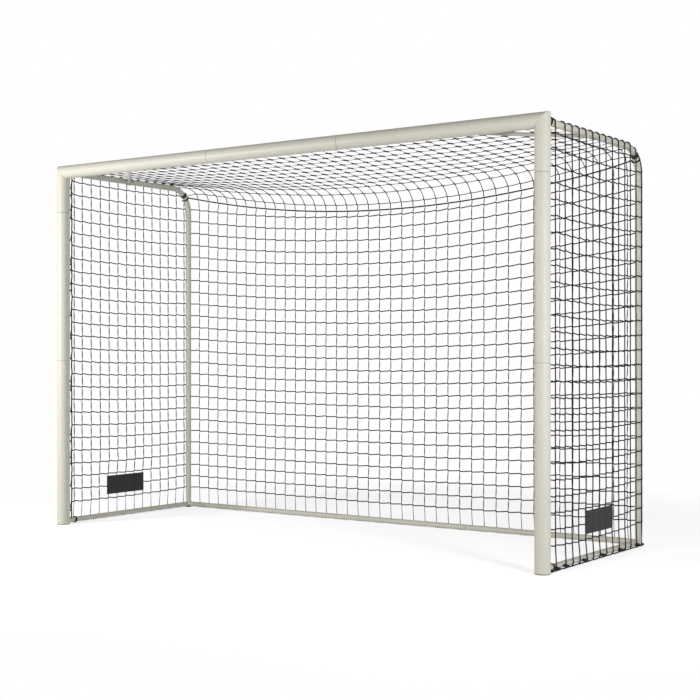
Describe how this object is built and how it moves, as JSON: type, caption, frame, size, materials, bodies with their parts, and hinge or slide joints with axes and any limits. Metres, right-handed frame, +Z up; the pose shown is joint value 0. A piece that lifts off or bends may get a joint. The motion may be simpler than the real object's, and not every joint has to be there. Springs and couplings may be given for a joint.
{
  "type": "soccer goal",
  "caption": "Free-standing soccer goal with sectional round posts and crossbar, bent side frames, ground rails, diagonal braces and a knotted box net.",
  "frame": {"origin": "on the ground under the middle of the goal's box", "axes": "+X along the crossbar to the goal's right as seen from the pitch, -Y out of the mouth, +Z up"},
  "size_m": [3, 1.0848, 1.975],
  "materials": {
    "frame_paint": "cream textured powder coat",
    "zinc_steel": "zinc plated",
    "spring_steel": "tempered spring steel",
    "black_plastic": "moulded",
    "net_cord": "braided polyethylene cord",
    "patch_cloth": "coated woven cloth, bare"
  },
  "bodies": {
    "frame": {"brace_bolt_left": "zinc_steel", "brace_bolt_right": "zinc_steel", "brace_left": "frame_paint", "brace_right": "frame_paint", "brace_saddle_left": "zinc_steel", "brace_saddle_right": "zinc_steel", "corner_left": "frame_paint", "corner_right": "frame_paint", "crossbar_middle": "frame_paint", "foot_plug_left": "black_plastic", "foot_plug_right": "black_plastic", "ground_rail_left": "frame_paint", "ground_rail_right": "frame_paint", "joint_sleeve_crossbar_left": "zinc_steel", "joint_sleeve_crossbar_right": "zinc_steel", "joint_sleeve_lower_left": "zinc_steel", "joint_sleeve_lower_right": "zinc_steel", "joint_sleeve_upper_left": "zinc_steel", "joint_sleeve_upper_right": "zinc_steel", "label_patch_left": "patch_cloth", "label_patch_right": "patch_cloth", "leaf_spring_crossbar_left": "spring_steel", "leaf_spring_crossbar_right": "spring_steel", "leaf_spring_lower_left": "spring_steel", "leaf_spring_lower_right": "spring_steel", "leaf_spring_upper_left": "spring_steel", "leaf_spring_upper_right": "spring_steel", "net_rear": "net_cord", "net_side_left": "net_cord", "net_side_right": "net_cord", "net_top": "net_cord", "post_lower_left": "frame_paint", "post_lower_right": "frame_paint", "post_upper_left": "frame_paint", "post_upper_right": "frame_paint", "rail_stub_left": "frame_paint", "rail_stub_right": "frame_paint", "rear_corner_left": "frame_paint", "rear_corner_right": "frame_paint", "rear_foot_left": "black_plastic", "rear_foot_right": "black_plastic", "rear_rail_left": "frame_paint", "rear_rail_middle": "frame_paint", "rear_rail_right": "frame_paint", "rear_rail_sleeve_left": "zinc_steel", "rear_rail_sleeve_right": "zinc_steel", "side_bolt_left": "zinc_steel", "side_bolt_right": "zinc_steel", "side_frame_left": "frame_paint", "side_frame_right": "frame_paint", "side_stub_left": "frame_paint", "side_stub_right": "frame_paint", "tension_rope": "net_cord"},
    "button_crossbar_left": {"snap_button_crossbar_left": "zinc_steel"},
    "button_crossbar_right": {"snap_button_crossbar_right": "zinc_steel"},
    "button_upper_left": {"snap_button_upper_left": "zinc_steel"},
    "button_upper_right": {"snap_button_upper_right": "zinc_steel"},
    "button_lower_left": {"snap_button_lower_left": "zinc_steel"},
    "button_lower_right": {"snap_button_lower_right": "zinc_steel"}
  },
  "joints": [
    {"name": "press_crossbar_left", "type": "slide", "parent": "frame", "child": "button_crossbar_left", "axis": [0, -1, 0], "range_m": [0, 0.0052], "stiffness_N_per_m": 1500, "springref_m": -0.002, "deforming": ["leaf_spring_crossbar_left"]},
    {"name": "press_crossbar_right", "type": "slide", "parent": "frame", "child": "button_crossbar_right", "axis": [0, -1, 0], "range_m": [0, 0.0052], "stiffness_N_per_m": 1500, "springref_m": -0.002, "deforming": ["leaf_spring_crossbar_right"]},
    {"name": "press_upper_left", "type": "slide", "parent": "frame", "child": "button_upper_left", "axis": [0, -1, 0], "range_m": [0, 0.0052], "stiffness_N_per_m": 1500, "springref_m": -0.002, "deforming": ["leaf_spring_upper_left"]},
    {"name": "press_upper_right", "type": "slide", "parent": "frame", "child": "button_upper_right", "axis": [0, -1, 0], "range_m": [0, 0.0052], "stiffness_N_per_m": 1500, "springref_m": -0.002, "deforming": ["leaf_spring_upper_right"]},
    {"name": "press_lower_left", "type": "slide", "parent": "frame", "child": "button_lower_left", "axis": [0, -1, 0], "range_m": [0, 0.0052], "stiffness_N_per_m": 1500, "springref_m": -0.002, "deforming": ["leaf_spring_lower_left"]},
    {"name": "press_lower_right", "type": "slide", "parent": "frame", "child": "button_lower_right", "axis": [0, -1, 0], "range_m": [0, 0.0052], "stiffness_N_per_m": 1500, "springref_m": -0.002, "deforming": ["leaf_spring_lower_right"]}
  ]
}
